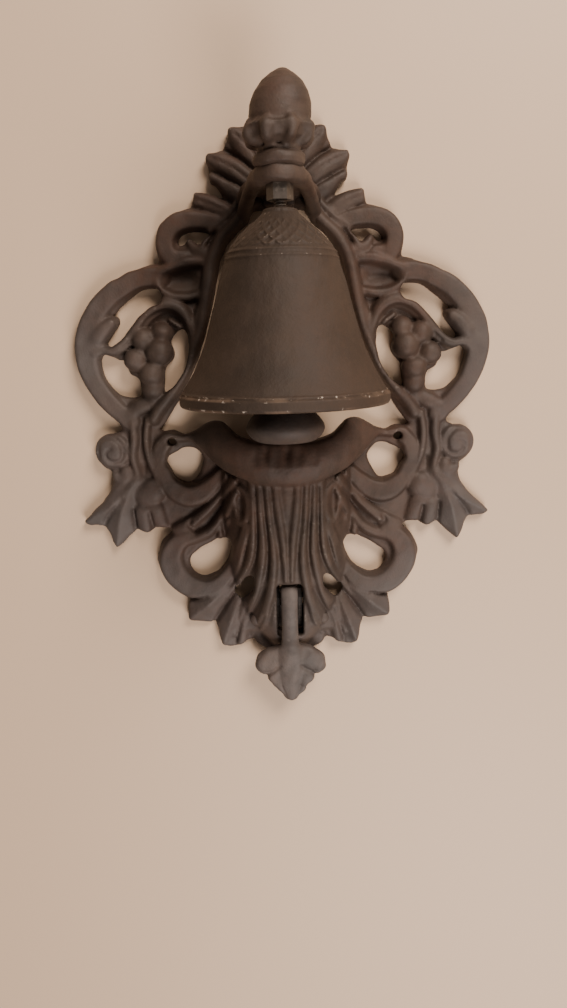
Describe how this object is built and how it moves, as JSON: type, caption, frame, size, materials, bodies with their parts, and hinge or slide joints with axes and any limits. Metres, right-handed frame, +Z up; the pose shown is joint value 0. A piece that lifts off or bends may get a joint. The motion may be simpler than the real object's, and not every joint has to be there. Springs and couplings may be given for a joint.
{
  "type": "wall mounted bell",
  "caption": "Cast-iron wall bell: openwork scroll back plate, bell hung from a stud under an acorn finial, and a leaf-shaped pull lever whose ball strikes the inside of the bell.",
  "frame": {"origin": "on the wall, on the centre line, midway between the two wall-screw holes", "axes": "+X to the right, +Y into the wall, +Z up; the bell looks along -Y"},
  "size_m": [0.2156, 0.1006, 0.3035],
  "materials": {
    "frame_iron": "aged brown, rough cast",
    "bell_iron": "aged brown, worn lip",
    "lever_iron": "aged brown, worn edges",
    "lever_steel": "dull, rusted",
    "stud_steel": "dull, rusted",
    "fastener_steel": "dull, rusted"
  },
  "bodies": {
    "wall_frame": {"back_plate": "frame_iron", "hanger_bracket": "frame_iron", "bracket_screw_lower": "fastener_steel", "bracket_screw_upper": "fastener_steel", "bell_stud": "stud_steel", "stud_locknut": "stud_steel", "acorn_finial": "frame_iron", "bell_washer": "fastener_steel", "bell_retaining_nut": "fastener_steel", "bell_jam_nut": "fastener_steel", "pivot_yoke": "fastener_steel", "yoke_rivet_left": "fastener_steel", "yoke_rivet_right": "fastener_steel", "pivot_pin": "fastener_steel", "pivot_split_pin": "fastener_steel"},
    "bell": {"bell": "bell_iron"},
    "lever": {"pull_handle": "lever_iron", "striker_arm": "lever_steel", "striker_ball": "lever_iron"}
  },
  "joints": [
    {"name": "bell_turn", "type": "hinge", "parent": "wall_frame", "child": "bell", "pos_m": [0, -0.0534, 0.1], "axis": [0, 0, 1], "continuous": true},
    {"name": "lever_pull", "type": "hinge", "parent": "wall_frame", "child": "lever", "pos_m": [0, -0.012, -0.083], "axis": [-1, 0, 0], "range_deg": [0, 11.3]}
  ]
}
